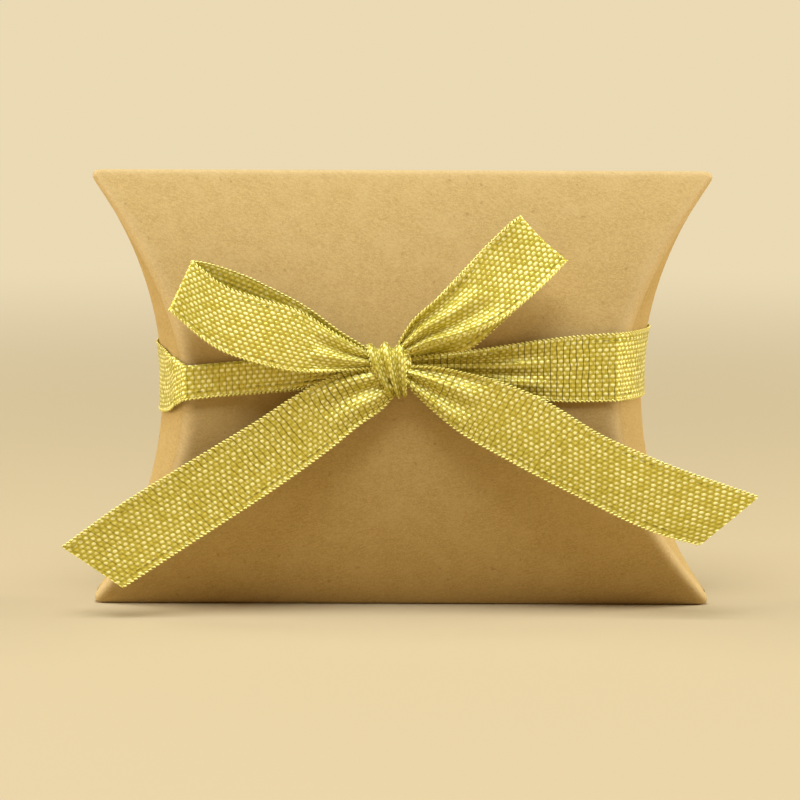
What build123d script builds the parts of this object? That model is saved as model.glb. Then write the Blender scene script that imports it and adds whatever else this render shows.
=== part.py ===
from build123d import *
import os
from math import cos, radians, sin, sqrt

# Favor box: a card pillow box that stands on its long fold, tied round its waist with a ribbon and a bow.
# Millimetres. X runs along the folds, Y from front to back, Z up, with zero at the middle of the bottom fold.

# Card box
box_length = 90.0  # corner to corner along a fold
box_height = 63.5  # bottom fold to top fold
box_depth = 24.0  # front to back at mid-height
card = 0.45  # thickness of the board
top_fold_width = 2.4  # flat that the upper long fold is pressed to
bottom_fold_width = 5.0  # flat that the lower long fold is pressed to, which the box stands on
end_inset = 10.0  # from the corners in to the end face, at mid-height
end_swell = 4.5  # how far an end face stands out past its two creases
crease_gap = 0.3  # between a panel's end and the flap that covers it
flap_gap = 0.35  # between an outer flap and the inner flap under it
flap_trim = 1.2  # how far the flaps stop short of the two folds
inner_flap_reach = 14.4  # from the front of the box to the inner flap's free edge
inner_flap_root_gap = 0.6  # between the inner flap and the front panel that it is scored to

# Glued seam inside the back panel, under the top fold
seam_width = 11.0  # down from the top fold
seam_end_inset = 2.0  # from the end faces at mid-height in to the strip's ends
seam_taper = 4.0  # how much each end of the strip slants in
seam_top_gap = 1.4  # from the top fold down to the strip
glue = 0.1  # thickness of the film
glue_margin = 1.0  # from the strip's edges in to the film

# Ribbon round the box
ribbon_width = 10.0
ribbon = 0.3  # thickness
band_rise = 2.75  # middle of the band above mid-height
band_side_gap = 0.2  # between the band and the panels
band_end_clearance = 0.2  # between the band's upper edge and the end flaps, whose waist is hollow
band_split_gap = 0.3  # where the arms of the band meet its back
left_run_height = 5.2  # height of the left run on the front, where the ribbon is folded over
left_run_drop = 1.9  # how far that run lies below the middle of the band
left_fold_length = 6.0  # along the front, from the crease to where the fold is complete
right_gather_length = 21.0  # from the knot to where the right run is at full width
run_root_height = 4.6  # height of the right run at the knot

# Knot
knot_x = -1.8
knot_rise = 0.9  # middle of the knot above the middle of the band
knot_core_length = 6.8
knot_core_height = 6.0
knot_core_depth = 2.6
knot_round = 1.2  # corner radius of the core
knot_wrap_length = 5.0
knot_wrap_thickness = 0.65
knot_wrap_gap = 0.1  # between the core and the turn of ribbon round it

# Bow: lengths are from the middle of the knot, angles are from +X towards +Z
left_loop_length = 32.7
left_loop_angle = 158.2
right_loop_length = 29.5
right_loop_angle = 41.8
loop_belly = 5.6  # front to back across a loop
loop_end_round = 1.9  # radius of the turn at a loop's far end
loop_lift = 1.5  # how far a loop's belly stands in front of its root
loop_belly_place = 16.0  # from a loop's root to its belly
left_tail_length = 53.0
left_tail_angle = 213.3
right_tail_length = 55.0
right_tail_angle = -23.2
tail_lift = 2.2  # how far a tail's end stands in front of its root
tail_bow = 0.8  # how far a tail's middle stands off the straight line
tail_slant = 4.2  # how much shorter a tail is along its lower edge
bow_root_width = 2.7  # width that loops and tails are gathered to at the knot
bow_root_offset = 1.6  # above the knot's middle for loops, below it for tails
bow_root_gap = 0.15  # between the knot's core and the loops and tails
bow_root_depth = 1.5  # front to back across a loop at its root
gather_length = 20.0  # from the root to where loops and tails are at full width

# Shapes that follow from the sizes above
mid_height = box_height / 2
top_half = top_fold_width / 2
bottom_half = bottom_fold_width / 2
end_half = box_length / 2 - end_inset
crease_half = end_half - end_swell
end_cover = card + crease_gap  # from the face of an outer flap in to the panel ends that it covers
end_radius = (mid_height**2 + end_inset**2 - end_cover**2) / (2 * (end_inset + end_cover))
end_axis = end_half + end_radius
swell_radius = ((box_depth / 2) ** 2 + end_swell**2) / (2 * end_swell)
swell_center = end_half - swell_radius
band_height = mid_height + band_rise
band_top = band_height + ribbon_width / 2
band_bottom = band_height - ribbon_width / 2
end_hollow = end_radius - sqrt(end_radius**2 - (band_top - mid_height) ** 2)  # of the end at the band's upper edge
band_end_gap = end_hollow + band_end_clearance
knot_height = band_height + knot_rise
knot_back = -box_depth / 2 - band_side_gap  # back of the knot, level with the inner face of the band
core_back = knot_back - knot_wrap_thickness - knot_wrap_gap
core_middle = core_back - knot_core_depth / 2
far = 2 * box_length  # reach of the blocks that only divide pieces


def block(low, high):
    """Box between two corners, for dividing pieces."""
    size = [b - a for a, b in zip(low, high)]
    middle = [(a + b) / 2 for a, b in zip(low, high)]
    return Pos(*middle) * Box(*size)


def pillow(inset):
    """The pillow's lens-shaped section, drawn in all round, carried past both ends of the box."""
    back = ThreePointArc((bottom_half, 0), (box_depth / 2, mid_height), (top_half, box_height))
    front = ThreePointArc((-bottom_half, 0), (-box_depth / 2, mid_height), (-top_half, box_height))
    section = make_face([back, front, Line(front @ 0, back @ 0), Line(front @ 1, back @ 1)])
    if inset:
        section = offset(section, -inset, kind=Kind.INTERSECTION)
    return extrude(Plane.YZ * section, amount=box_length / 2 + end_inset, both=True)


def left_end_drum(grow):
    """The hollow outside the left end: a drum with a drawn-in waist, about an axis along Y."""
    half_depth = box_depth / 2 + card
    drum = Pos((end_radius + swell_radius) / 2, 0) * Rectangle(end_radius + swell_radius, 2 * half_depth)
    profile = drum - Pos(end_radius + swell_radius, 0) * Circle(swell_radius - grow)
    return Pos(-end_axis, 0, mid_height) * revolve(profile, Axis.Y)


def right_of(shape):
    """The same piece at the right end."""
    return mirror(shape, about=Plane.YZ)


def end_shell(outer, inner):
    """Sheet of card that follows the left end, between two depths below the end face."""
    return left_end_drum(inner) - left_end_drum(outer)


def prism(points, y_low, y_high):
    """Outline in X and Z, carried along Y."""
    outline = make_face(Polyline(*points, close=True))
    front = Plane(origin=(0, y_high, 0), x_dir=(1, 0, 0), z_dir=(0, -1, 0))
    return extrude(front * outline, amount=y_high - y_low)


# Panels and folds
end_cut = left_end_drum(end_cover)
sleeve = pillow(0) - pillow(card) - end_cut - right_of(end_cut)
bottom_strip = block((-far, -bottom_half, -far), (far, bottom_half, mid_height))
top_strip = block((-far, -top_half, mid_height), (far, top_half, far))
bottom_fold = sleeve & bottom_strip
top_fold = sleeve & top_strip
panels = sleeve - bottom_strip - top_strip
front_panel = panels & block((-far, -far, -far), (far, 0, far))
back_panel = panels & block((-far, 0, -far), (far, far, far))

# Glued seam
seam_top = box_height - seam_top_gap
seam_bottom = box_height - seam_width


def seam_outline(margin):
    """Front view of the strip, with slanted ends, drawn in by a margin."""
    half = end_half - seam_end_inset - margin
    low = seam_bottom + margin
    high = seam_top - margin
    return prism([(-half, high), (half, high), (half - seam_taper, low), (seam_taper - half, low)], 0, box_depth)


seam_glue = (pillow(card) - pillow(card + glue)) & seam_outline(glue_margin)
seam_flap = (pillow(card + glue) - pillow(2 * card + glue)) & seam_outline(0)

# End flaps
between_folds = block((-far, -far, flap_trim), (far, far, box_height - flap_trim))
left_outer_flap = end_shell(0, card) & pillow(0) & between_folds
inner_depth = card + flap_gap
inner_space = pillow(card + inner_flap_root_gap) & between_folds
front_reach = block((-far, -far, -far), (far, inner_flap_reach - box_depth / 2, far))
left_inner_flap = end_shell(inner_depth, inner_depth + card) & inner_space & front_reach


def waist_plan(side_gap, end_gap):
    """Plan of the box at its waist, stood off at its sides and at its ends."""
    depth = box_depth + 2 * side_gap
    swell = Circle(swell_radius + end_gap)
    swells = Pos(-swell_center, 0) * swell + Pos(swell_center, 0) * swell
    return Rectangle(2 * swell_center, depth) + (swells & Rectangle(box_length, depth))


# Ribbon band
band_plan = waist_plan(band_side_gap + ribbon, band_end_gap + ribbon) - waist_plan(band_side_gap, band_end_gap)
band = extrude(Pos(0, 0, band_bottom) * band_plan, amount=ribbon_width)
split = crease_half - band_split_gap  # where the arms of the band begin, at the back
band_back = band & block((band_split_gap - split, 0, 0), (split - band_split_gap, far, far))
run_end = knot_core_length / 2 - ribbon
left_part = block((-far, -far, 0), (knot_x - run_end, 0, far)) + block((-far, -far, 0), (-split, far, far))
right_part = block((knot_x + run_end, -far, 0), (far, 0, far)) + block((split, -far, 0), (far, far, far))
left_run_top = band_height - left_run_drop + left_run_height / 2
left_run_bottom = left_run_top - left_run_height
fold_start = -crease_half
fold_end = left_fold_length - crease_half
left_fold_over = prism(
    [(fold_start, band_top), (fold_end, left_run_top), (knot_x, left_run_top), (knot_x, band_top)], -far, 0
)
left_under = prism([(fold_end, band_bottom), (knot_x, band_bottom), (knot_x, left_run_bottom)], -far, 0)
band_left = (band & left_part) - left_fold_over - left_under
gather_end = knot_x + right_gather_length
root_top = knot_height + run_root_height / 2
root_bottom = knot_height - run_root_height / 2
right_over = prism([(gather_end, band_top), (knot_x, band_top), (knot_x, root_top)], -far, 0)
right_under = prism([(gather_end, band_bottom), (knot_x, root_bottom), (knot_x, band_bottom)], -far, 0)
band_right = (band & right_part) - right_over - right_under


def knot_section(grow):
    """Rounded section across the knot's core, grown all round."""
    size = (knot_core_depth + 2 * grow, knot_core_height + 2 * grow)
    return Pos(core_middle, knot_height) * RectangleRounded(*size, knot_round + grow)


def along_knot(section, length):
    """Section carried along the knot, either way from its middle."""
    return Pos(knot_x, 0, 0) * extrude(Plane.YZ * section, amount=length / 2, both=True)


# Knot
knot_core = along_knot(knot_section(0), knot_core_length)
wrap_section = knot_section(knot_wrap_gap + knot_wrap_thickness) - knot_section(knot_wrap_gap)
knot_wrap = along_knot(wrap_section, knot_wrap_length)


def bow_plane(length, angle, side, offset):
    """Plane at a bow piece's root: X along the piece, Y to the front, Z across the ribbon. Also its length."""
    tip = (knot_x + length * cos(radians(angle)), knot_height + length * sin(radians(angle)))
    corner = bow_root_width / 2 * abs(sin(radians(angle)))
    root = (knot_x + side * (knot_core_length / 2 + bow_root_gap + corner), knot_height + offset)
    run = (tip[0] - root[0], tip[1] - root[1])
    reach = sqrt(run[0] ** 2 + run[1] ** 2)
    along = (run[0] / reach, 0, run[1] / reach)
    across = (along[2], 0, -along[0])
    return Plane(origin=(root[0], core_middle, root[1]), x_dir=along, z_dir=across), reach


def gathered(plane, strip, reach):
    """Ribbon strip drawn in to its root width at the knot."""
    half = ribbon_width / 2 + ribbon
    root_half = bow_root_width / 2
    outline = [
        (-ribbon_width, root_half),
        (0, root_half),
        (gather_length, half),
        (reach + ribbon_width, half),
        (reach + ribbon_width, -half),
        (gather_length, -half),
        (0, -root_half),
        (-ribbon_width, -root_half),
    ]
    face = make_face(Polyline(*outline, close=True))
    seen = Plane(origin=plane.origin, x_dir=plane.x_dir, z_dir=plane.y_dir)
    return strip & extrude(seen * face, amount=box_depth, both=True)


def loop(length, angle, side):
    """Bow loop: a flattened ring of ribbon, closed at the knot and round at its far end."""
    plane, reach = bow_plane(length, angle, side, bow_root_offset)
    belly = Pos(loop_belly_place, loop_lift) * Circle(loop_belly / 2)
    end = Pos(reach - loop_end_round, loop_lift) * Circle(loop_end_round)
    root = Pos(bow_root_depth / 2, 0) * Circle(bow_root_depth / 2)
    outside = make_hull(belly.edges() + end.edges() + root.edges())
    ring = outside - offset(outside, -ribbon)
    return gathered(plane, extrude(plane * ring, amount=ribbon_width / 2, both=True), reach)


def tail(length, angle, side):
    """Cut ribbon end: a strip with a slow bow in it, cut on a slant."""
    plane, reach = bow_plane(length, angle, side, -bow_root_offset)
    front = ThreePointArc((0, ribbon), (reach / 2, tail_lift / 2 + tail_bow + ribbon), (reach, tail_lift + ribbon))
    back = ThreePointArc((0, 0), (reach / 2, tail_lift / 2 + tail_bow), (reach, tail_lift))
    sides = [Line(back @ 0, front @ 0), Line(back @ 1, front @ 1)]
    face = make_face([front, back, *sides])
    strip = extrude(plane * face, amount=ribbon_width / 2, both=True)
    upper = side * ribbon_width / 2
    cut_face = make_face(
        Polyline((reach, upper), (reach - tail_slant, -upper), (reach + 1, -upper), (reach + 1, upper), close=True)
    )
    seen = Plane(origin=plane.origin, x_dir=plane.x_dir, z_dir=plane.y_dir)
    return gathered(plane, strip, reach) - extrude(seen * cut_face, amount=box_depth, both=True)


# Bow
left_loop = loop(left_loop_length, left_loop_angle, -1)
right_loop = loop(right_loop_length, right_loop_angle, 1)
left_tail = tail(left_tail_length, left_tail_angle, -1)
right_tail = tail(right_tail_length, right_tail_angle, 1)

pieces = {
    "front_panel": front_panel,
    "back_panel": back_panel,
    "top_fold": top_fold,
    "bottom_fold": bottom_fold,
    "seam_flap": seam_flap,
    "seam_glue": seam_glue,
    "left_outer_flap": left_outer_flap,
    "right_outer_flap": right_of(left_outer_flap),
    "left_inner_flap": left_inner_flap,
    "right_inner_flap": right_of(left_inner_flap),
    "band_back": band_back,
    "band_left": band_left,
    "band_right": band_right,
    "knot_core": knot_core,
    "knot_wrap": knot_wrap,
    "left_loop": left_loop,
    "right_loop": right_loop,
    "left_tail": left_tail,
    "right_tail": right_tail,
}

os.makedirs("parts", exist_ok=True)
for name, shape in pieces.items():
    export_step(shape, f"parts/{name}.step")
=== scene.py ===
from math import cos, pi, radians, sin, sqrt

import bpy
import numpy as np
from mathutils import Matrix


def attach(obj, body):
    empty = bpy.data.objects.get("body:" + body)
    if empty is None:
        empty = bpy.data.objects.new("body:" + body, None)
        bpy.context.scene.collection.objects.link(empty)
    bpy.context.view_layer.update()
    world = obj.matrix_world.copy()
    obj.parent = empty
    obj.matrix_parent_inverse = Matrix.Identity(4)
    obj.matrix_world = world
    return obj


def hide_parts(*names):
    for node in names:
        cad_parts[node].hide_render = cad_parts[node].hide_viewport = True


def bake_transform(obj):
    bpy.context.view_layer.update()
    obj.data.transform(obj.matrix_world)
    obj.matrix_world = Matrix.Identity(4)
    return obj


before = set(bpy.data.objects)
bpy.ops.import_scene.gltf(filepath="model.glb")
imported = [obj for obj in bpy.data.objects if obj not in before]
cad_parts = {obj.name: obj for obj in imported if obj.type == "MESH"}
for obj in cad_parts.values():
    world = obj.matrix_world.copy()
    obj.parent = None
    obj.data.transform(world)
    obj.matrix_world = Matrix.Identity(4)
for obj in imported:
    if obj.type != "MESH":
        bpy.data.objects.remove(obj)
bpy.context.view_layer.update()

# Camera
# The photograph looks at the front of the box from a little above, through a long lens.
# The picture is turned by a fraction of a degree.
MM = 0.001
IMAGE_SIDE = 800  # pixels
PIXELS_PER_MM = 6.83  # at the middle of the box
CAMERA_DISTANCE = 650.0
CAMERA_ELEVATION = radians(7.0)
CAMERA_ROLL = radians(0.2)
AIM = (-0.25, 0.0, 29.83)
camera_data = bpy.data.cameras.new("camera")
camera_data.lens = PIXELS_PER_MM * CAMERA_DISTANCE * camera_data.sensor_width / IMAGE_SIDE
camera_data.clip_start = 0.01
camera = bpy.data.objects.new("camera", camera_data)
bpy.context.scene.collection.objects.link(camera)
camera.location = (
    AIM[0] * MM,
    (AIM[1] - CAMERA_DISTANCE * cos(CAMERA_ELEVATION)) * MM,
    (AIM[2] + CAMERA_DISTANCE * sin(CAMERA_ELEVATION)) * MM,
)
camera.rotation_mode = "ZYX"
camera.rotation_euler = (pi / 2 - CAMERA_ELEVATION, 0, CAMERA_ROLL)
bpy.context.scene.camera = camera


def linear(code):
    """An sRGB hex colour as linear RGBA."""
    values = [int(code[i : i + 2], 16) / 255 for i in (1, 3, 5)]
    return [v / 12.92 if v <= 0.04045 else ((v + 0.055) / 1.055) ** 2.4 for v in values] + [1.0]


def add(tree, kind, inputs=None, **settings):
    """A new node with its settings, and its inputs filled or linked."""
    node = tree.nodes.new(kind)
    for key, value in settings.items():
        setattr(node, key, value)
    for socket, value in (inputs or {}).items():
        if isinstance(value, bpy.types.NodeSocket):
            tree.links.new(value, node.inputs[socket])
        else:
            node.inputs[socket].default_value = value
    return node


def math(tree, operation, *values):
    """The result of one math node."""
    return add(tree, "ShaderNodeMath", dict(enumerate(values)), operation=operation).outputs[0]


def mix(tree, factor, low, high):
    """Two colours mixed by a factor."""
    return add(tree, "ShaderNodeMix", {0: factor, 6: low, 7: high}, data_type="RGBA").outputs[2]


def ramp(tree, value, low, high):
    """A value taken smoothly from 0 at low to 1 at high."""
    inputs = {"Value": value, "From Min": low, "From Max": high}
    return add(tree, "ShaderNodeMapRange", inputs, interpolation_type="SMOOTHSTEP").outputs[0]


def noise(tree, place, size_mm, detail):
    """Noise with features of a real size."""
    inputs = {"Vector": place, "Scale": 1 / (size_mm * MM), "Detail": detail}
    return add(tree, "ShaderNodeTexNoise", inputs).outputs[0]


def new_material(name):
    """A material with its tree and its Principled shader."""
    material = bpy.data.materials.new(name)
    material.use_nodes = True
    return material, material.node_tree, material.node_tree.nodes["Principled BSDF"]


# Kraft card
# Brown board of unbleached pulp: short fibres lie every way, with a slow mottle and a few dark flecks.
# Where it is creased the surface is a little paler: partly wear, partly a painted highlight where the
# rounded card catches the light.
FIBRE_LENGTH = 1.3
FIBRE_WIDTH = 0.2
FIBRE_ANGLES = (12, 64, 118, 155)
FIBRE_RELIEF = 0.05
MOTTLE_SIZE = 3.5
GRIT_SIZE = 0.4
FLECK_SIZE = 0.9
kraft, tree, shader = new_material("kraft_card")
place = add(tree, "ShaderNodeTexCoord").outputs["Object"]
stretch = [1 / (size * MM) for size in (FIBRE_LENGTH, FIBRE_WIDTH, FIBRE_WIDTH)]
fibres = 0.0
for angle in FIBRE_ANGLES:
    turn = (0, radians(angle), radians(angle))
    turned = add(tree, "ShaderNodeMapping", {"Vector": place, "Rotation": turn}).outputs[0]
    scaled = add(tree, "ShaderNodeVectorMath", {0: turned, 1: stretch}, operation="MULTIPLY").outputs[0]
    strand = add(tree, "ShaderNodeTexNoise", {"Vector": scaled, "Scale": 1.0, "Detail": 1.0}).outputs[0]
    fibres = math(tree, "MULTIPLY_ADD", strand, 1 / len(FIBRE_ANGLES), fibres)
mottle = noise(tree, place, MOTTLE_SIZE, 4.0)
grit = noise(tree, place, GRIT_SIZE, 2.0)
fleck = noise(tree, place, FLECK_SIZE, 2.0)
CARD_LAYERS = (  # a pattern, where it starts and is full, its share and its colour
    (mottle, 0.4, 0.7, 0.3, "#CBAF74"),
    (fleck, 0.68, 0.76, 0.35, "#886A35"),
    (grit, 0.6, 0.72, 0.2, "#D8BD88"),
)
tone = mix(tree, ramp(tree, fibres, 0.34, 0.66), linear("#B29559"), linear("#C7AA6C"))
for pattern, low, high, most, colour in CARD_LAYERS:
    amount = math(tree, "MULTIPLY", ramp(tree, pattern, low, high), most)
    tone = mix(tree, amount, tone, linear(colour))
# Paler at the folds and end creases: partly wear, partly a painted highlight on the rounded card.
worn_and_lit = add(tree, "ShaderNodeAttribute", attribute_name="crease").outputs["Fac"]
worn_and_lit = math(tree, "MULTIPLY", worn_and_lit, math(tree, "MULTIPLY_ADD", grit, 0.8, 0.2))
tone = mix(tree, worn_and_lit, tone, linear("#E8D4A6"))
tree.links.new(tone, shader.inputs["Base Color"])
shader.inputs["Roughness"].default_value = 0.85
shader.inputs["Specular IOR Level"].default_value = 0.2
relief = math(tree, "MULTIPLY_ADD", grit, 0.4, fibres)
bump = add(tree, "ShaderNodeBump", {"Strength": 0.35, "Distance": FIBRE_RELIEF * MM, "Height": relief})
tree.links.new(bump.outputs[0], shader.inputs["Normal"])

# Box sleeve
# One card blank bowed into a pillow: the front and back panels run into two pressed long folds.
# At both ends the card turns in over a curved crease, and the corners of the folds are blunt.
BOX_LENGTH = 90.0
BOX_HEIGHT = 63.5
HALF_DEPTH = 12.0
CARD = 0.45
TOP_HALF = 1.2
BOTTOM_HALF = 2.5
END_INSET = 10.0
END_SWELL = 4.5
END_COVER = 0.75
MID = BOX_HEIGHT / 2
END_HALF = BOX_LENGTH / 2 - END_INSET
END_RADIUS = (MID**2 + END_INSET**2 - END_COVER**2) / (2 * (END_INSET + END_COVER))
END_AXIS = END_HALF + END_RADIUS
SWELL_RADIUS = (HALF_DEPTH**2 + END_SWELL**2) / (2 * END_SWELL)
CREASE_ROUND = 1.4  # from the sharp crease back to where the card starts to turn
CORNER_ROUND = 2.4
FOLD_ROUND = 0.7
SECTION_STEPS = 56
ROUND_STEPS = 6
LENGTH_STEPS = 70
arc = np.array([[BOTTOM_HALF, 0], [HALF_DEPTH, MID], [TOP_HALF, BOX_HEIGHT]])
arc_center = np.linalg.solve(2 * (arc[1:] - arc[0]), (arc[1:] ** 2).sum(1) - (arc[0] ** 2).sum())
arc_radius = np.linalg.norm(arc[0] - arc_center)


def panel_y(z):
    """Half the depth of the box at a height."""
    return arc_center[0] + np.sqrt(arc_radius**2 - (np.asarray(z, float) - arc_center[1]) ** 2)


def end_x(y, z, depth):
    """Distance from the middle of the box to its end, at a depth below the end face."""
    reach = END_RADIUS + SWELL_RADIUS - np.sqrt((SWELL_RADIUS - depth) ** 2 - np.asarray(y) ** 2)
    return END_AXIS - np.sqrt(reach**2 - (np.asarray(z) - MID) ** 2)


def mesh_piece(name, points, faces, material, **attributes):
    """A smooth mesh object from points in millimetres, with point attributes."""
    mesh = bpy.data.meshes.new(name)
    mesh.from_pydata((np.asarray(points) * MM).tolist(), [], [list(map(int, face)) for face in faces])
    for key, values in attributes.items():
        layer = mesh.attributes.new(key, "FLOAT", "POINT")
        layer.data.foreach_set("value", np.asarray(values, np.float32).ravel())
    mesh.materials.append(material)
    mesh.polygons.foreach_set("use_smooth", [True] * len(mesh.polygons))
    mesh.validate()
    mesh.update()
    piece = bpy.data.objects.new(name, mesh)
    bpy.context.scene.collection.objects.link(piece)
    return piece


def grid_faces(index, wrap_rows=False, wrap_columns=False, flip=False):
    """Quads over a grid of point numbers, which may close on itself either way."""
    closed = np.concatenate([index, index[:1]]) if wrap_rows else index
    closed = np.concatenate([closed, closed[:, :1]], 1) if wrap_columns else closed
    corners = [closed[:-1, :-1], closed[1:, :-1], closed[1:, 1:], closed[:-1, 1:]]
    quads = np.stack(corners, -1).reshape(-1, 4)
    return (quads[:, ::-1] if flip else quads).tolist()


def soft_corner(start, corner, stop):
    """Points of a bend that takes the place of a sharp corner."""
    t = np.linspace(0, 1, ROUND_STEPS).reshape(-1, *[1] * np.ndim(corner))
    return (1 - t) ** 2 * start + 2 * t * (1 - t) * corner + t**2 * stop


def fold_corner(before, corner, after):
    """A soft corner of the section, where a panel meets a fold."""
    corner = np.array(corner)
    ways = [(end - corner) / np.linalg.norm(end - corner) for end in (before, after)]
    return soft_corner(corner + FOLD_ROUND * ways[0], corner, corner + FOLD_ROUND * ways[1])


heights = BOX_HEIGHT * (1 - np.cos(np.linspace(0, pi, SECTION_STEPS))) / 2
heights = heights[(heights > FOLD_ROUND) & (heights < BOX_HEIGHT - FOLD_ROUND)]
front = np.stack([-panel_y(heights), heights], 1)
foot = fold_corner(np.array([0.0, 0.0]), (-BOTTOM_HALF, 0), front[0])
head = fold_corner(front[-1], (-TOP_HALF, BOX_HEIGHT), np.array([0.0, BOX_HEIGHT]))
half_section = np.concatenate([foot, front, head])
section = np.concatenate([half_section, half_section[::-1] * [-1, 1]])
along = np.roll(section, -1, 0) - np.roll(section, 1, 0)
inward = np.stack([along[:, 1], -along[:, 0]], 1) / np.linalg.norm(along, axis=1)[:, None]
NUDGE = 0.05
corner = end_x(*section.T, 0.0)
lean = (end_x(*(section + NUDGE * inward).T, 0.0) - corner) / NUDGE
soft = CREASE_ROUND + (CORNER_ROUND - CREASE_ROUND) * inward[:, 1] ** 2
turned_in = soft / np.hypot(1, lean)
bend_x = soft_corner(corner - soft, corner, corner + turned_in * lean).T
bend_in = soft_corner(0 * soft, 0 * soft, turned_in).T
share = np.sin(np.linspace(-pi / 2, pi / 2, LENGTH_STEPS))
x = np.concatenate([-bend_x[:, :0:-1], (corner - soft)[:, None] * share, bend_x[:, 1:]], 1)
sunk = np.concatenate([bend_in[:, :0:-1], np.zeros((len(section), LENGTH_STEPS)), bend_in[:, 1:]], 1)
outer = np.dstack([x, section[:, :1] + inward[:, :1] * sunk, section[:, 1:] + inward[:, 1:] * sunk])
lining = section + CARD * inward
LINING_GAP = 0.05
PANEL_END_DEPTH = CARD + LINING_GAP  # the outer flaps lie over the ends of the lining
lining_depth = PANEL_END_DEPTH + (CORNER_ROUND / 2 - PANEL_END_DEPTH) * inward[:, 1] ** 2
lining_x = end_x(*lining.T, lining_depth)[:, None] * np.linspace(-1, 1, x.shape[1])
inner = np.dstack([lining_x, *(np.repeat(lining[:, [k]], x.shape[1], 1) for k in (0, 1))])
# The creases are painted paler: partly wear, partly a painted highlight where the rounded card catches the
# light.
FOLD_WEAR_AND_HIGHLIGHT = 0.5  # reach of the wear and painted highlight from a fold
END_WEAR_AND_HIGHLIGHT = 1.3  # reach of the wear and painted highlight from an end crease
WORN_AND_LIT = 0.4
from_end = corner[:, None] - np.abs(x)
from_fold = np.minimum(outer[..., 2], BOX_HEIGHT - outer[..., 2])
wear_and_highlight = WORN_AND_LIT * np.maximum(np.exp(-((from_end / END_WEAR_AND_HIGHLIGHT) ** 2)), np.exp(-from_fold / FOLD_WEAR_AND_HIGHLIGHT))
outer_index = np.arange(x.size).reshape(x.shape)
inner_index = outer_index + x.size
faces = grid_faces(outer_index, wrap_rows=True, flip=True) + grid_faces(inner_index, wrap_rows=True)
for column, flip in ((0, True), (-1, False)):
    rim = np.stack([outer_index[:, column], inner_index[:, column]], 1)
    faces += grid_faces(rim, wrap_rows=True, flip=flip)
points = np.concatenate([outer, inner]).reshape(-1, 3)
sleeve = mesh_piece("card_sleeve", points, faces, kraft, crease=np.concatenate([wear_and_highlight, 0 * wear_and_highlight]))
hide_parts("front_panel", "back_panel", "top_fold", "bottom_fold")
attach(sleeve, "box")

# Glued seam
# A strip of the same blank lies inside the back panel, over a thin film of dried glue.
CLOUD_SIZE = 2.0
glue, tree, shader = new_material("dried_glue")
place = add(tree, "ShaderNodeTexCoord").outputs["Object"]
cloud = noise(tree, place, CLOUD_SIZE, 2.0)
tree.links.new(mix(tree, cloud, linear("#CDBF98"), linear("#E6DCBC")), shader.inputs["Base Color"])
shader.inputs["Roughness"].default_value = 0.4
for node, material in (("seam_flap", kraft), ("seam_glue", glue)):
    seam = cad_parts[node]
    seam.data.materials.clear()
    seam.data.materials.append(material)

# End flaps
# Two curved flaps close each end. The inner one is tucked in first and the outer one bends over it.
# The outer flap is scored to the back panel and the inner one to the front panel.
FLAP_GAP = 0.35
FLAP_TRIM = 1.95  # from a fold to the ends of the flaps
INNER_REACH = 2.4  # free edge of an inner flap, past the middle of the box
SEAM_GAP = 0.03  # between the turned-in card and the edge of an outer flap
ROOT_GAP = 0.15
EDGE_ROUND = 0.12
FLAP_ROWS = 90
FLAP_COLUMNS = 26
panel_rows = slice(len(foot), len(foot) + len(front))
turned_height = section[panel_rows, 1] + inward[panel_rows, 1] * turned_in[panel_rows]
turned_depth = -section[panel_rows, 0] - inward[panel_rows, 0] * turned_in[panel_rows]


def outer_limit(z):
    """Half the depth of an outer flap at a height, up to the turned-in card."""
    return np.interp(z, turned_height, turned_depth) - SEAM_GAP


def inner_limit(z):
    """Half the depth inside the panels at a height."""
    return panel_y(z) - CARD - ROOT_GAP


def outer_edge(z):
    """Front edge of an outer flap at a height."""
    return -outer_limit(z)


def inner_root(z):
    """Edge of an inner flap at its crease."""
    return -inner_limit(z)


def inner_edge(z):
    """Free edge of an inner flap at a height."""
    return min(INNER_REACH, inner_limit(z))


def flap(name, side, low_of, high_of, depth):
    """A sheet of card that follows an end of the box between two limits at each height."""
    rows = FLAP_TRIM + (BOX_HEIGHT - 2 * FLAP_TRIM) * (1 - np.cos(np.linspace(0, pi, FLAP_ROWS))) / 2
    turn = np.linspace(0, pi / 2, ROUND_STEPS)
    edge_out = EDGE_ROUND * (1 - np.sin(turn))
    edge_in = EDGE_ROUND * (1 - np.cos(turn))
    points = []
    for z in rows:
        low, high = low_of(z), high_of(z)
        face = np.linspace(high - EDGE_ROUND, low + EDGE_ROUND, FLAP_COLUMNS)
        lining = np.linspace(low, high, FLAP_COLUMNS)
        y = np.concatenate([face, low + edge_out[1:], lining, high - edge_out[:0:-1]])
        sunk = np.concatenate([0 * face, edge_in[1:], 0 * lining + CARD, edge_in[:0:-1]])
        points.append(np.stack([side * end_x(y, z, depth + sunk), y, 0 * y + z], 1))
    points = np.array(points)
    index = np.arange(points.shape[0] * points.shape[1]).reshape(points.shape[:2])
    faces = grid_faces(index, wrap_columns=True, flip=side < 0)
    caps = [index[0].tolist(), index[-1, ::-1].tolist()]
    faces += caps if side < 0 else [cap[::-1] for cap in caps]
    return mesh_piece(name, points.reshape(-1, 3), faces, kraft)


def hinge_flap(piece, node):
    """Hides the CAD part of a flap and bakes the transform of its new mesh."""
    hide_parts(node)
    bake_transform(piece)


for word, side in (("left", -1), ("right", 1)):
    outer_flap = flap(f"{word}_outer_flap_card", side, outer_edge, outer_limit, 0.0)
    hinge_flap(outer_flap, f"{word}_outer_flap")
    inner_flap = flap(f"{word}_inner_flap_card", side, inner_root, inner_edge, CARD + FLAP_GAP)
    hinge_flap(inner_flap, f"{word}_inner_flap")

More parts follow.
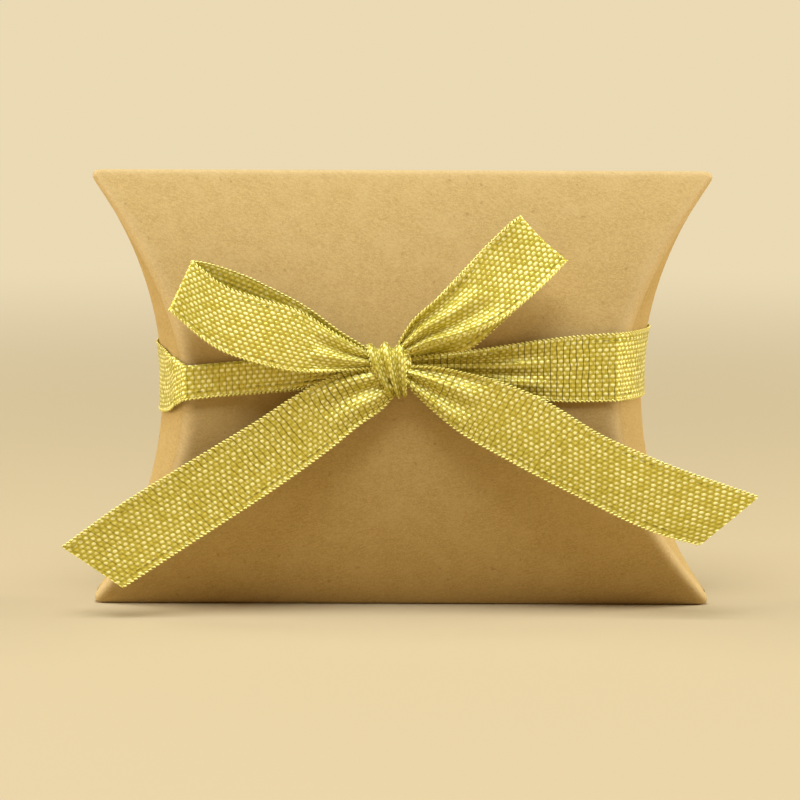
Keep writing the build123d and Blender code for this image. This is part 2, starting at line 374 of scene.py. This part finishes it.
# Gold ribbon
# A flat metallic ribbon in plain weave: bright floats lie in brick order, with thin gaps between the picks.
# Both edges are finished with a twisted cord, and the cloth is a little sheer.
RIBBON_WIDTH = 10.0
RIBBON = 0.16  # thickness between the floats
PICK = 0.93  # pitch of the weave along the ribbon
ENDS = 15  # rows of floats across the ribbon
ROW = RIBBON_WIDTH / ENDS
FLOAT_RISE = 0.07
STITCH_INSET = 0.9  # of the stitches that hold the cord
STITCH_PITCH = 1.4
STITCH_LENGTH = 0.6  # share of the pitch
STITCH_EDGE = (0.035, 0.015)  # where a stitch fades, as shares of half the width
GAP_EDGE = (0.36, 0.47)  # where a gap starts and is darkest, as shares of a pick
FLOAT_SHADE = (0.8, 0.05)  # squared distances from the middle of a float
FLOAT_DOME = (1.4, 0.1)
PATCH_SIZE = 5.0
WAVER_SIZE = 2.5
THREAD_SIZE = 0.12
THREAD_RELIEF = 0.06
CORD_PITCH = 0.62
CORD_RADIUS = 0.15
CORD_STOP = 3  # rows of points from the cut ends of the ribbon
CORD_TWIST = radians(32)
CORD_STRAND = (0.85, 0.85, 2.3)  # width, width and length, beside the cord's radius
CORD_FACETS = (8, 6)  # of a strand, round it and along it
REVERSE = 0.55  # brightness of the floats on the back of the ribbon, beside those on its face
STEP = 0.17  # spacing of points along and across the ribbon
FINE_STEPS = 40  # points for each control point, where a run is measured


def weave_cells(tree, attribute, along_pitch, across_pitch):
    """Cell numbers of the weave, and how far a point lies from the middle of its float."""
    along, across = (attribute(name) for name in ("along", "across"))
    row = math(tree, "DIVIDE", across, across_pitch)
    row_number = math(tree, "FLOOR", row)
    stagger = math(tree, "MULTIPLY", math(tree, "MODULO", row_number, 2.0), 0.5)
    pick = math(tree, "ADD", math(tree, "DIVIDE", along, along_pitch), stagger)
    off = [math(tree, "MULTIPLY_ADD", math(tree, "FRACT", value), 2.0, -1.0) for value in (pick, row)]
    spread = math(tree, "ADD", *(math(tree, "MULTIPLY", value, value) for value in off))
    return math(tree, "FLOOR", pick), row_number, spread


gold, tree, shader = new_material("gold_ribbon")


def gold_attribute(name):
    """A point attribute of the ribbon, in its material."""
    return add(gold.node_tree, "ShaderNodeAttribute", attribute_name=name).outputs["Fac"]


pick_number, row_number, spread = weave_cells(tree, gold_attribute, PICK, ROW)
float_mask = math(tree, "MULTIPLY", ramp(tree, spread, *FLOAT_SHADE), gold_attribute("face"))
cell = add(tree, "ShaderNodeCombineXYZ", {"X": pick_number, "Y": row_number}).outputs[0]
chance = add(tree, "ShaderNodeTexWhiteNoise", {"Vector": cell}).outputs["Value"]
place = add(tree, "ShaderNodeTexCoord").outputs["Object"]
patch = ramp(tree, noise(tree, place, PATCH_SIZE, 2.0), 0.35, 0.65)
waver = math(tree, "MULTIPLY", noise(tree, place, WAVER_SIZE, 1.0), 0.7)
between = math(tree, "MULTIPLY_ADD", gold_attribute("along"), 1 / PICK, waver)
between = math(tree, "FRACT", between)
between = math(tree, "ABSOLUTE", math(tree, "SUBTRACT", between, 0.5))
thin = math(tree, "MULTIPLY_ADD", patch, -0.5, 1.0)
gap = math(tree, "MULTIPLY", ramp(tree, between, *GAP_EDGE), thin)
gap = math(tree, "MULTIPLY", gap, gold_attribute("gaps"))
# The floats are lighter than the ground, partly the metallic yarn's own tone and partly a painted highlight
# that varies at random from float to float; the glint is a painted highlight on random floats.
shine = math(tree, "MULTIPLY", float_mask, math(tree, "MULTIPLY_ADD", chance, 0.6, 0.4))
tone = mix(tree, shine, linear("#C2B539"), linear("#E6DE64"))
glint = math(tree, "MULTIPLY", float_mask, ramp(tree, chance, -0.2, 0.9))
tone = mix(tree, glint, tone, linear("#FFFBB4"))
tone = mix(tree, gap, tone, linear("#6A5E10"))
inset = math(tree, "MULTIPLY_ADD", gold_attribute("across"), 2 / RIBBON_WIDTH, -1.0)
inset = math(tree, "SUBTRACT", math(tree, "ABSOLUTE", inset), 1 - 2 * STITCH_INSET / RIBBON_WIDTH)
stitch = ramp(tree, math(tree, "ABSOLUTE", inset), *STITCH_EDGE)
dash = math(tree, "FRACT", math(tree, "DIVIDE", gold_attribute("along"), STITCH_PITCH))
stitch = math(tree, "MULTIPLY", stitch, math(tree, "LESS_THAN", dash, STITCH_LENGTH))
stitch = math(tree, "MULTIPLY", stitch, math(tree, "MULTIPLY", patch, 0.7))
tone = mix(tree, stitch, tone, linear("#6F6418"))
cord = gold_attribute("cord")
tone = mix(tree, cord, tone, linear("#F0E884"))
tree.links.new(tone, shader.inputs["Base Color"])
shader.inputs["Metallic"].default_value = 0.35
tree.links.new(math(tree, "MULTIPLY_ADD", chance, 0.25, 0.22), shader.inputs["Roughness"])
threads = math(tree, "MULTIPLY_ADD", noise(tree, place, THREAD_SIZE, 1.0), 0.5, float_mask)
bump = add(tree, "ShaderNodeBump", {"Strength": 0.5, "Distance": THREAD_RELIEF * MM, "Height": threads})
tree.links.new(bump.outputs[0], shader.inputs["Normal"])
weave = bpy.data.node_groups.new("ribbon_weave", "GeometryNodeTree")
WEAVE_INPUTS = {
    "Geometry": ("NodeSocketGeometry", None),
    "Pick": ("NodeSocketFloat", PICK),
    "Row": ("NodeSocketFloat", ROW),
    "Float rise": ("NodeSocketFloat", FLOAT_RISE * MM),
    "Cord pitch": ("NodeSocketFloat", CORD_PITCH * MM),
    "Cord radius": ("NodeSocketFloat", CORD_RADIUS * MM),
    "Material": ("NodeSocketMaterial", gold),
}
for name, (kind, value) in WEAVE_INPUTS.items():
    weave.interface.new_socket(name, in_out="INPUT", socket_type=kind)
weave.interface.new_socket("Geometry", in_out="OUTPUT", socket_type="NodeSocketGeometry")
given = add(weave, "NodeGroupInput").outputs


def weave_attribute(name):
    """A point attribute of the ribbon, in its node tree."""
    return add(weave, "GeometryNodeInputNamedAttribute", {"Name": name}, data_type="FLOAT").outputs[0]


pick_number, row_number, spread = weave_cells(weave, weave_attribute, given["Pick"], given["Row"])
dome = math(weave, "MULTIPLY", ramp(weave, spread, *FLOAT_DOME), weave_attribute("face"))
rise = math(weave, "MULTIPLY", dome, given["Float rise"])
normal = add(weave, "GeometryNodeInputNormal").outputs[0]
offset = add(weave, "ShaderNodeVectorMath", {0: normal, "Scale": rise}, operation="SCALE").outputs[0]
raised = add(weave, "GeometryNodeSetPosition", {"Geometry": given["Geometry"], "Offset": offset}).outputs[0]
is_edge = math(weave, "GREATER_THAN", weave_attribute("selvedge"), 0.99)
edge = add(weave, "GeometryNodeMeshToCurve", {"Mesh": given["Geometry"], "Selection": is_edge}).outputs[0]
inputs = {"Curve": edge, "Length": given["Cord pitch"]}
stops = add(weave, "GeometryNodeCurveToPoints", inputs, mode="LENGTH").outputs
inputs = {"Segments": CORD_FACETS[0], "Rings": CORD_FACETS[1], "Radius": given["Cord radius"]}
bead = add(weave, "GeometryNodeMeshUVSphere", inputs).outputs[0]
bead = add(weave, "GeometryNodeTransform", {"Geometry": bead, "Scale": CORD_STRAND}).outputs[0]
bead = add(weave, "GeometryNodeTransform", {"Geometry": bead, "Rotation": (CORD_TWIST, 0, 0)}).outputs[0]
bead = add(weave, "GeometryNodeSetShadeSmooth", {"Geometry": bead}).outputs[0]
inputs = {"Geometry": bead, "Name": "cord", "Value": 1.0}
bead = add(weave, "GeometryNodeStoreNamedAttribute", inputs).outputs[0]
inputs = {"Points": stops["Points"], "Instance": bead, "Rotation": stops["Rotation"]}
cords = add(weave, "GeometryNodeInstanceOnPoints", inputs).outputs[0]
whole = add(weave, "GeometryNodeJoinGeometry")
weave.links.new(raised, whole.inputs[0])
weave.links.new(cords, whole.inputs[0])
whole = add(weave, "GeometryNodeRealizeInstances", {"Geometry": whole.outputs[0]}).outputs[0]
whole = add(weave, "GeometryNodeSetMaterial", {"Geometry": whole, "Material": given["Material"]}).outputs[0]
add(weave, "NodeGroupOutput", {"Geometry": whole})


def weave_on(piece):
    """Raises the weave on a sheet of ribbon and cords its edges, as a plain mesh."""
    modifier = piece.modifiers.new("weave", "NODES")
    modifier.node_group = weave
    for item in weave.interface.items_tree:
        if item.in_out == "INPUT" and item.name != "Geometry":
            modifier[item.identifier] = WEAVE_INPUTS[item.name][1]
    plain = bpy.data.meshes.new_from_object(piece.evaluated_get(bpy.context.evaluated_depsgraph_get()))
    piece.modifiers.remove(modifier)
    piece.data = plain


def run_length(controls):
    """Length of a run of control points."""
    return np.linalg.norm(np.diff(np.asarray(controls, float), axis=0), axis=1).sum()


def smooth_run(controls, count):
    """Evenly spaced points on a smooth run through control points."""
    controls = np.asarray(controls, float)
    knots = np.concatenate([[0], np.cumsum(np.linalg.norm(np.diff(controls, axis=0), axis=1))])
    slopes = np.gradient(controls, knots, axis=0)
    t = np.linspace(0, knots[-1], FINE_STEPS * len(controls))
    at = np.clip(np.searchsorted(knots, t, "right") - 1, 0, len(knots) - 2)
    gap = (knots[at + 1] - knots[at])[:, None]
    s = (t - knots[at])[:, None] / gap
    fine = (2 * s**3 - 3 * s**2 + 1) * controls[at] + (s**3 - 2 * s**2 + s) * gap * slopes[at]
    fine += (3 * s**2 - 2 * s**3) * controls[at + 1] + (s**3 - s**2) * gap * slopes[at + 1]
    walked = np.concatenate([[0], np.cumsum(np.linalg.norm(np.diff(fine, axis=0), axis=1))])
    wanted = np.linspace(0, walked[-1], count)
    return np.stack([np.interp(wanted, walked, fine[:, k]) for k in range(fine.shape[1])], 1)


def unit(vectors):
    """Vectors of length one."""
    return vectors / np.maximum(np.linalg.norm(vectors, axis=-1, keepdims=True), 1e-9)


COLUMNS = int(RIBBON_WIDTH / STEP)
FLAT_WIDTH = 8.8  # between its edges, a ribbon wider than this has no pleats
LEAST_WIDTH = 1.5  # between its edges, a ribbon narrower than this has no more pleats
MOST_SPARE = 2.0
PLEAT_SHARE = 0.8


def ribbon_piece(name, node, grid, face, gaps):
    """A thin woven sheet over a grid of points, rows along the ribbon and columns across it.

    Face is the bright side: 0 where along x across points out of it, 1 for the other side. Gaps is how dark
    the gaps between the picks are, at the first and last rows.
    """
    lift = unit(np.cross(np.gradient(grid, axis=0), np.gradient(grid, axis=1))) * RIBBON / 2
    rows, columns = grid.shape[:2]
    walked = np.concatenate([[0], np.cumsum(np.linalg.norm(np.diff(grid, axis=0), axis=2).mean(1))])
    along = np.repeat(walked[:, None], columns, 1)
    across = np.repeat(np.linspace(0, RIBBON_WIDTH, columns)[None], rows, 0)
    is_edge = np.zeros((2, rows, columns))
    is_edge[face, CORD_STOP:-CORD_STOP, [0, -1]] = 1
    bright = np.full((2, rows, columns), REVERSE)
    bright[face] = 1
    top = np.arange(rows * columns).reshape(rows, columns)
    faces = grid_faces(top) + grid_faces(top + top.size, flip=True)
    border = np.concatenate([top[0, :-1], top[:-1, -1], top[-1, :0:-1], top[:0:-1, 0]])
    faces += grid_faces(np.stack([border, border + top.size], 1), wrap_rows=True, flip=True)
    points = np.concatenate([grid + lift, grid - lift]).reshape(-1, 3)
    fields = {"along": [along, along], "across": [across, across], "selvedge": is_edge, "face": bright}
    fields["gaps"] = np.broadcast_to(np.linspace(*gaps, rows)[:, None], (2, rows, columns))
    piece = mesh_piece(name, points, faces, gold, **fields)
    weave_on(piece)
    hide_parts(node)
    return piece


def strip(lower, upper, pleats=3, phase=0.0, cup=0.2, flat=FLAT_WIDTH):
    """Grid between two edges. Where they close up, the ribbon's spare width goes into lengthwise pleats."""
    count = int(max(run_length(lower), run_length(upper)) / STEP)
    low, high = smooth_run(lower, count), smooth_run(upper, count)
    v = np.linspace(0, 1, COLUMNS)
    grid = low[:, None] * (1 - v[:, None]) + high[:, None] * v[:, None]
    width = np.linalg.norm(high - low, axis=1)
    spare = np.sqrt(np.clip(flat / np.maximum(width, LEAST_WIDTH) - 1, 0, MOST_SPARE))
    size = PLEAT_SHARE * width * spare / (pi * pleats)
    facing = unit(np.cross(np.gradient(low + high, axis=0), high - low))
    wave = np.sin(2 * pi * pleats * v + phase) * size[:, None]
    wave += cup * (1 - (2 * v - 1) ** 2) * np.clip(width / RIBBON_WIDTH, 0, 1)[:, None]
    return grid + facing[:, None] * wave[..., None]


# Ribbon across the back
# It lies flat on the back panel and climbs a little from the left end to the right.
BACK_Y = 12.42
BACK_END = 29.9
BACK_FOOT = (29.6, 30.4)  # heights of its lower edge, at the left and the right end
BAND_HEIGHT = 9.85
BAND_GAPS = (0.9, 0.9)
back_low = [
    (BACK_END, BACK_Y, BACK_FOOT[1]),
    (0.0, BACK_Y, sum(BACK_FOOT) / 2),
    (-BACK_END, BACK_Y, BACK_FOOT[0]),
]
back_high = [(x, y, z + BAND_HEIGHT) for x, y, z in back_low]
back_grid = strip(back_low, back_high, cup=0.0)
band_back = ribbon_piece("ribbon_back", "band_back", back_grid, face=0, gaps=BAND_GAPS)
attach(band_back, "box")

# Right arm of the ribbon
# It hugs the right end at full width, then gathers along the front into the knot.
BAND_GAP = 0.25  # from an end flap to the middle of the ribbon
CREASE_CLEAR = 12.4


def hug_end(grid, gap):
    """Keeps a grid of ribbon outside the end flap that it passes over."""
    x, y, z = np.moveaxis(grid, -1, 0)
    clear = end_x(np.clip(y, -HALF_DEPTH, HALF_DEPTH), z, -gap)
    near = np.clip(CREASE_CLEAR - np.abs(y), 0, 1)
    pushed = np.sign(x) * (np.abs(x) + near * np.maximum(clear - np.abs(x), 0))
    return np.dstack([pushed, y, z])


def bend_arm(piece):
    """Bakes the transform of an arm of the ribbon into its mesh."""
    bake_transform(piece)


right_path = [
    (BACK_END, BACK_Y, BACK_FOOT[1], BACK_FOOT[1] + BAND_HEIGHT),
    (31.0, 12.4, 30.45, 40.3),
    (32.0, 10.5, 30.6, 40.45),
    (34.2, 6.0, 30.9, 40.7),
    (35.4, 0.0, 31.1, 40.9),
    (34.2, -6.0, 31.2, 41.0),
    (32.0, -10.5, 31.3, 41.0),
    (31.0, -12.35, 31.4, 41.0),
    (28.3, -12.5, 31.35, 40.85),
    (23.0, -12.55, 31.3, 40.4),
    (18.0, -12.7, 31.7, 39.7),
    (10.0, -13.1, 33.2, 38.5),
    (1.5, -13.7, 34.8, 37.6),
]
right_low = [(x, y, low) for x, y, low, high in right_path]
right_high = [(x, y, high) for x, y, low, high in right_path]
right_grid = hug_end(strip(right_low, right_high, cup=0.0), BAND_GAP)
band_right = ribbon_piece(
    "ribbon_right", "band_right", right_grid, face=1, gaps=BAND_GAPS
)
bend_arm(band_right)

# Left arm of the ribbon
# It hugs the left end at full width; along the front its upper part is folded down behind.
left_path = [
    (-BACK_END, BACK_Y, BACK_FOOT[0], BAND_HEIGHT),
    (-31.0, 12.4, 29.4, BAND_HEIGHT),
    (-32.0, 10.5, 29.1, BAND_HEIGHT),
    (-34.2, 6.0, 28.8, BAND_HEIGHT),
    (-35.3, 0.0, 28.6, 9.8),
    (-34.6, -5.0, 28.6, 9.7),
    (-33.2, -8.5, 29.2, 8.6),
    (-31.9, -11.0, 30.3, 6.4),
    (-30.9, -12.6, 31.0, 5.2),
    (-28.0, -12.8, 31.4, 5.0),
    (-23.6, -12.85, 31.9, 4.9),
    (-15.0, -12.9, 32.7, 4.8),
    (-9.0, -13.2, 33.6, 4.2),
    (-4.5, -13.6, 34.6, 3.2),
]
FOLD_DEPTH = 0.2  # half the distance between the two layers of the folded ribbon
FOLD_TURN = 0.35
FOLD_START = 2.5  # the fold is whole once the ribbon shows this much less of its width
FOLD_FOOT = 0.15
UP = np.array([0, 0, 1.0])
fine = smooth_run(left_path, int(run_length(np.array(left_path)[:, :3]) / STEP))
foot_line, seen = fine[:, :3], fine[:, 3:]
facing = unit(np.cross(np.gradient(foot_line, axis=0), UP))
cloth = np.linspace(0, RIBBON_WIDTH, COLUMNS)
past = cloth - seen
folded = np.clip((BAND_HEIGHT - seen) / FOLD_START, 0, 1)
folded_climb = seen - np.sqrt(past**2 + FOLD_TURN**2) + FOLD_TURN
climb = folded * folded_climb + (1 - folded) * cloth * seen / RIBBON_WIDTH
climb = np.maximum(climb, FOLD_FOOT * np.abs(past) / RIBBON_WIDTH)
behind = -FOLD_DEPTH * np.tanh(past / FOLD_TURN) * folded
left_grid = foot_line[:, None] + climb[..., None] * UP + facing[:, None] * behind[..., None]
left_grid = hug_end(left_grid, BAND_GAP + folded * FOLD_DEPTH + behind)
band_left = ribbon_piece("ribbon_left", "band_left", left_grid, face=0, gaps=(0.8, 0.5))
bend_arm(band_left)

# Knot
# The gathered ribbon is pulled tight under one pleated turn, broad at its top and narrow at its foot.
KNOT = (-1.75, -14.25, 36.3)
CORE_HALF = (3.3, 1.2, 2.4)
CORE_STEPS = 48
CORE_END = 0.02  # girth of its ends, beside that of its middle
CORE_PLEATS = 7
CORE_PLEAT = 0.10
CORE_PHASE = 1.2
CORE_BLUNT = 5  # a higher number squares its ends
turns, runs = np.linspace(0, 2 * pi, CORE_STEPS, endpoint=False), np.linspace(-1, 1, CORE_STEPS)
turn, run = np.meshgrid(turns, runs, indexing="ij")
girth = np.sqrt(np.maximum(1 - np.abs(run) ** CORE_BLUNT, 0)) * (1 - CORE_END) + CORE_END
girth = girth * (1 + CORE_PLEAT * np.sin(CORE_PLEATS * turn + CORE_PHASE))
core_x = KNOT[0] + CORE_HALF[0] * run
core_y = KNOT[1] + CORE_HALF[1] * girth * np.cos(turn)
core_z = KNOT[2] + CORE_HALF[2] * girth * np.sin(turn)
index = np.arange(CORE_STEPS**2).reshape(CORE_STEPS, CORE_STEPS)
faces = grid_faces(index, wrap_rows=True, flip=True) + [index[:, 0].tolist(), index[::-1, -1].tolist()]
points = np.dstack([core_x, core_y, core_z]).reshape(-1, 3)
fields = {"along": (run + 1) * CORE_HALF[0], "across": turn * RIBBON_WIDTH / (2 * pi)}
core = mesh_piece("knot_gather", points, faces, gold, face=1 + 0 * run, gaps=1 + 0 * run, **fields)
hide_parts("knot_core")
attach(core, "right_arm")
WRAP_DEPTH = 1.85
FOOT_MIDDLE_TOP = (-1, 0, 1)
WRAP_WIDTH = (2.2, 4.5, 5.4)  # at the foot, the middle and the top of the turn
WRAP_SHIFT = (1.2, 0.0, -0.4)
WRAP_REACH = (4.0, 3.6, 3.1)
WRAP_PLEATS = 2.5
WRAP_PLEAT = 0.48
WRAP_TWIST = 0.7
WRAP_ROLL = 0.6  # how far its edges turn under
TUCK = (0.36, 0.09, 1.1)  # place and width, as shares of the ribbon, and depth of the deep fold
wrap_rows = int(2 * pi * sqrt((WRAP_DEPTH**2 + WRAP_REACH[1] ** 2) / 2) / STEP)
turn, v = np.meshgrid(np.linspace(-pi, pi, wrap_rows), np.linspace(0, 1, COLUMNS), indexing="ij")
up = np.sin(turn)
width, shift, reach = (
    np.polyval(np.polyfit(FOOT_MIDDLE_TOP, sizes, 2), up) for sizes in (WRAP_WIDTH, WRAP_SHIFT, WRAP_REACH)
)
crest = WRAP_PLEAT * (np.sin(2 * pi * WRAP_PLEATS * v + WRAP_TWIST * up) - WRAP_ROLL * (2 * v - 1) ** 2)
crest -= TUCK[2] * np.exp(-(((v - TUCK[0]) / TUCK[1]) ** 2)) * (1 - up) / 2
wrap_x = KNOT[0] + shift + (v - 0.5) * width
wrap_y = KNOT[1] - np.cos(turn) * (WRAP_DEPTH + crest)
wrap_z = KNOT[2] + up * (reach + crest)
wrap_grid = np.dstack([wrap_x, wrap_y, wrap_z])
wrap = ribbon_piece("knot_turn", "knot_wrap", wrap_grid, face=1, gaps=(0.4, 0.4))
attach(wrap, "right_arm")


def bow_piece(name, node, lower, upper, held, far, face, gaps, **shape):
    """A loop or tail that bends out of the knot. Far is the number of its farthest point, and is not used.
    """
    piece = ribbon_piece(name, node, strip(lower, upper, **shape), face, gaps)
    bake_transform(piece)


left_loop_upper = [
    (-4.2, -14.7, 38.0),
    (-9.2, -15.8, 41.0),
    (-14.9, -16.4, 44.6),
    (-20.3, -16.6, 46.3),
    (-25.6, -16.4, 48.2),
    (-29.0, -15.8, 50.8),
    (-29.9, -15.4, 51.5),
    (-29.3, -15.0, 51.4),
    (-23.5, -14.2, 49.7),
    (-18.5, -13.8, 47.4),
    (-13.7, -13.7, 44.8),
    (-9.2, -13.8, 41.5),
    (-4.2, -14.0, 38.4),
]
left_loop_lower = [
    (-3.8, -15.0, 36.3),
    (-8.5, -16.4, 36.0),
    (-14.9, -17.6, 36.1),
    (-20.5, -18.0, 37.3),
    (-26.0, -17.5, 39.2),
    (-31.3, -16.0, 43.0),
    (-33.1, -15.4, 44.6),
    (-32.4, -14.9, 44.2),
    (-28.0, -13.9, 40.8),
    (-22.0, -13.9, 39.0),
    (-16.0, -13.95, 37.8),
    (-10.0, -13.95, 36.9),
    (-4.2, -14.0, 36.3),
]
LOOP_TURN = 6  # number of a loop's farthest point
shape = {"face": 1, "gaps": (0.3, 0.3), "pleats": 2, "cup": -0.2, "flat": 7.2}
bow_piece("left_loop_ribbon", "left_loop", left_loop_lower, left_loop_upper, "gathered", LOOP_TURN, **shape)
right_loop_upper = [
    (-0.6, -14.7, 39.6),
    (1.5, -15.6, 43.1),
    (5.0, -16.2, 46.3),
    (8.5, -16.3, 49.9),
    (12.0, -16.2, 53.9),
    (16.0, -16.0, 57.5),
    (16.8, -15.5, 58.1),
    (16.1, -15.0, 57.6),
    (12.0, -14.0, 53.6),
    (8.0, -13.5, 49.3),
    (4.5, -13.3, 45.5),
    (1.8, -13.6, 42.6),
    (-0.4, -14.0, 39.4),
]
right_loop_lower = [
    (0.6, -15.0, 38.6),
    (4.0, -16.0, 40.0),
    (8.6, -17.5, 41.2),
    (13.0, -18.3, 43.0),
    (18.0, -18.0, 46.7),
    (22.4, -16.2, 50.8),
    (23.4, -15.6, 51.8),
    (22.6, -15.0, 51.2),
    (18.0, -13.9, 46.4),
    (13.4, -13.3, 42.0),
    (9.4, -13.1, 38.7),
    (5.0, -13.5, 37.7),
    (0.6, -14.0, 37.4),
]
shape = {"face": 0, "gaps": (0.3, 0.3), "pleats": 2, "phase": 0.6, "cup": -0.2}
bow_piece(
    "right_loop_ribbon", "right_loop", right_loop_lower, right_loop_upper, "gathered", LOOP_TURN, **shape
)

# Bow tails
# The cut ends fall away to both sides, full width and nearly flat, each cut on a slant.
left_tail_upper = [
    (-2.8, -14.9, 36.2),
    (-9.2, -15.3, 35.2),
    (-13.5, -15.6, 33.2),
    (-21.0, -15.9, 28.4),
    (-32.3, -16.2, 21.5),
    (-40.0, -16.5, 16.7),
    (-48.6, -16.9, 10.5),
]
left_tail_lower = [
    (-0.8, -14.9, 32.6),
    (-2.5, -15.0, 30.6),
    (-6.0, -15.2, 28.1),
    (-10.1, -15.4, 24.8),
    (-19.1, -15.8, 18.3),
    (-28.7, -16.1, 12.0),
    (-40.0, -16.6, 4.6),
]
shape = {"face": 1, "gaps": (1.0, 0.6), "pleats": 2, "phase": 1.0}
bow_piece("left_tail_ribbon", "left_tail", left_tail_lower, left_tail_upper, "hung", -1, **shape)
right_tail_upper = [
    (0.4, -14.9, 36.6),
    (5.1, -15.2, 36.4),
    (10.2, -15.5, 35.4),
    (15.1, -15.8, 34.0),
    (19.8, -16.0, 32.0),
    (28.6, -16.4, 26.8),
    (36.0, -16.6, 23.5),
    (51.1, -17.0, 18.1),
]
right_tail_lower = [
    (0.0, -14.9, 34.8),
    (2.4, -15.1, 32.3),
    (5.0, -15.3, 29.9),
    (7.5, -15.4, 27.8),
    (15.5, -15.8, 23.1),
    (25.2, -16.1, 18.1),
    (37.3, -16.6, 12.6),
    (42.8, -16.8, 11.1),
]
shape = {"face": 0, "gaps": (0.9, 0.3), "pleats": 2}
bow_piece("right_tail_ribbon", "right_tail", right_tail_lower, right_tail_upper, "hung", -1, **shape)

# Floor, backdrop and light
# A pale floor fades with distance into a pale backdrop, which looks the same from every side.
# A broad light hangs overhead, and weaker ones stand at both sides.
FLOOR_HALF = 2.0
FADE_START = 0.15  # distances from the box, in metres
FADE_END = 0.55
BACKDROP = linear("#EBDAB4")
ROOM_LIGHT = 0.07


def shown_rays(tree):
    """1 for rays that show the backdrop, straight or in a reflection, and 0 for those that carry light."""
    path = add(tree, "ShaderNodeLightPath").outputs
    straight = math(tree, "MAXIMUM", path["Is Camera Ray"], path["Is Transmission Ray"])
    return math(tree, "MAXIMUM", straight, path["Is Glossy Ray"])


floor_corners = [(-FLOOR_HALF, -FLOOR_HALF, 0), (FLOOR_HALF, -FLOOR_HALF, 0)]
floor_corners += [(FLOOR_HALF, FLOOR_HALF, 0), (-FLOOR_HALF, FLOOR_HALF, 0)]
pale, tree, shader = new_material("pale_floor")
shader.inputs["Base Color"].default_value = linear("#B9A983")
shader.inputs["Roughness"].default_value = 0.9
place = add(tree, "ShaderNodeTexCoord").outputs["Object"]
distance = add(tree, "ShaderNodeVectorMath", {0: place}, operation="LENGTH").outputs["Value"]
faded = math(tree, "MULTIPLY", ramp(tree, distance, FADE_START, FADE_END), shown_rays(tree))
glow = add(tree, "ShaderNodeEmission", {"Color": BACKDROP}).outputs[0]
surface = add(tree, "ShaderNodeMixShader", {0: faded, 1: shader.outputs[0], 2: glow}).outputs[0]
tree.links.new(surface, tree.nodes["Material Output"].inputs["Surface"])
floor = mesh_piece("floor", np.array(floor_corners) / MM, [(0, 1, 2, 3)], pale)


def area_light(name, power, size, place, colour):
    """A square soft light aimed at the middle of the box."""
    data = bpy.data.lights.new(name, "AREA")
    data.energy = power
    data.size = size
    data.color = linear(colour)[:3]
    light = bpy.data.objects.new(name, data)
    bpy.context.scene.collection.objects.link(light)
    light.location = place
    toward = unit(np.array([0, 0, MID * MM]) - np.array(place))
    flat = sqrt(toward[0] ** 2 + toward[1] ** 2)
    light.rotation_euler = (np.arctan2(flat, -toward[2]), 0, np.arctan2(toward[1], toward[0]) - pi / 2)


area_light("overhead", power=13.2, size=0.6, place=(-0.05, -0.4, 0.95), colour="#F1F5FF")
for side in (-1, 1):
    area_light("side", power=3.4, size=0.4, place=(side * 0.6, 0.05, 0.25), colour="#FFF3E2")
area_light("bounce", power=0.2, size=0.3, place=(0.0, -0.5, 0.03), colour="#FF9A3C")
world = bpy.data.worlds.new("room")
bpy.context.scene.world = world
world.use_nodes = True
tree = world.node_tree
shown = shown_rays(tree)
background = tree.nodes["Background"].inputs
tree.links.new(mix(tree, shown, linear("#FFF8EC"), BACKDROP), background["Color"])
tree.links.new(math(tree, "MULTIPLY_ADD", shown, 1 - ROOM_LIGHT, ROOM_LIGHT), background["Strength"])
bpy.context.scene.view_settings.view_transform = "Standard"
